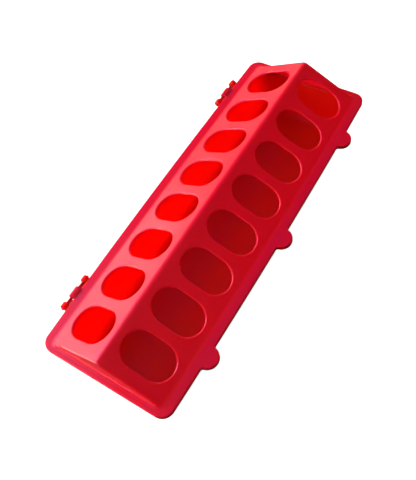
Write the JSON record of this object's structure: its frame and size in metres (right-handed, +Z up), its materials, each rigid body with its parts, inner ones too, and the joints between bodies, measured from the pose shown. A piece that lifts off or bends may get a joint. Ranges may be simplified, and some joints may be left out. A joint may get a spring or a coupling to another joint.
{
  "type": "chick feeder",
  "caption": "Long plastic chick feeder: a tapered feed tray under a hinged gabled lid with a row of stadium-shaped feeding holes in each slope, finger tabs and snap studs.",
  "frame": {"origin": "centre of the tray's flat underside, on the floor", "axes": "+X along the feeder's length, +Y towards the hinges at the back, -Y towards the finger tabs, +Z up"},
  "size_m": [0.305, 0.1214, 0.0628],
  "materials": {
    "tray_plastic": "red moulded polypropylene, slightly translucent, satin to glossy",
    "lid_plastic": "red moulded polypropylene, slightly translucent, soft gloss",
    "pin_plastic": "dark red moulded plastic, satin"
  },
  "bodies": {
    "tray": {"tray": "tray_plastic"},
    "lid": {"lid": "lid_plastic", "hinge_pin_left": "pin_plastic", "hinge_pin_right": "pin_plastic"}
  },
  "joints": [
    {"name": "lid_hinge", "type": "hinge", "parent": "tray", "child": "lid", "pos_m": [0, 0.05662, 0.03815], "axis": [-1, 0, 0], "range_deg": [0, 194]}
  ]
}
